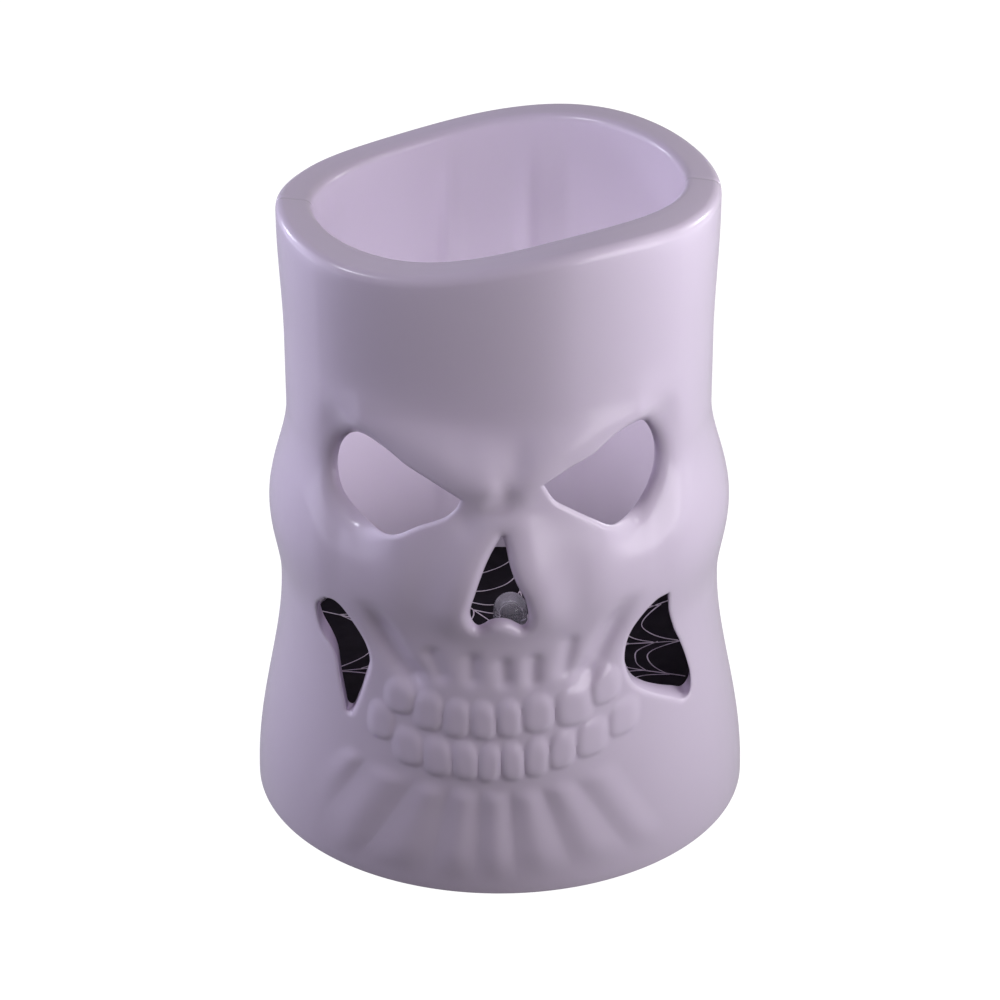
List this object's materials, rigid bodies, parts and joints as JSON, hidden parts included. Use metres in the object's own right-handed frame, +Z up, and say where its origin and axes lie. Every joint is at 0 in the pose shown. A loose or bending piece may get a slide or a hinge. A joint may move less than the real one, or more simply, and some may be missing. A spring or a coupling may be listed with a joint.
{
  "type": "skull candle pot",
  "caption": "Open white plastic pot with a pierced skull face, a black printed deck and a small clear lamp inside, run by cells behind a door in its foot.",
  "frame": {"origin": "middle of the foot, on the surface that the pot stands on", "axes": "+Z up through the open rim, -Y the way the face looks, +X to the right of a person facing it; the shells meet on the plane Y = 0"},
  "size_m": [0.072, 0.072, 0.095],
  "materials": {
    "shell_white": "semi-gloss moulded, slightly translucent",
    "black_plastic": "fine moulded texture",
    "card_black": "matt printed card with thin white lines",
    "clear_lens": "clear moulded epoxy",
    "lead_tin": "tinned",
    "screw_steel": "zinc plated",
    "contact_nickel": "nickel plated spring strip",
    "board_green": "solder mask",
    "epoxy_black": "glossy blob",
    "resistor_tan": "lacquer",
    "cell_wrap": "plain printed sleeve on a metal can",
    "switch_grey": "fine moulded texture",
    "wire_red": "soft sleeve",
    "wire_black": "soft sleeve",
    "wire_yellow": "soft sleeve"
  },
  "bodies": {
    "pot": {"front_shell": "shell_white", "rear_shell": "shell_white", "base_plate": "black_plastic", "base_screw_1": "screw_steel", "base_screw_2": "screw_steel", "base_screw_3": "screw_steel", "base_screw_4": "screw_steel", "deck_screw_1": "screw_steel", "deck_screw_2": "screw_steel", "deck_screw_3": "screw_steel", "cell_1": "cell_wrap", "cell_2": "cell_wrap", "positive_contact": "contact_nickel", "negative_contact": "contact_nickel", "link_contact": "contact_nickel", "deck_plate": "black_plastic", "web_card": "card_black", "led_lens": "clear_lens", "led_lead_cathode": "lead_tin", "led_lead_anode": "lead_tin", "circuit_board": "board_green", "chip_blob": "epoxy_black", "resistor": "resistor_tan", "red_wire": "wire_red", "black_wire": "wire_black", "yellow_wire": "wire_yellow", "switch_housing": "switch_grey"},
    "door": {"battery_door": "black_plastic", "door_screw": "screw_steel"},
    "slider": {"switch_slider": "switch_grey"}
  },
  "joints": [
    {"name": "switch_slide", "type": "slide", "parent": "pot", "child": "slider", "axis": [1, 0, 0], "range_m": [0, 0.003]},
    {"name": "battery_door_hinge", "type": "hinge", "parent": "pot", "child": "door", "pos_m": [-0.02465, 0, 0.001], "axis": [0, 1, 0], "range_deg": [0, 75]}
  ]
}
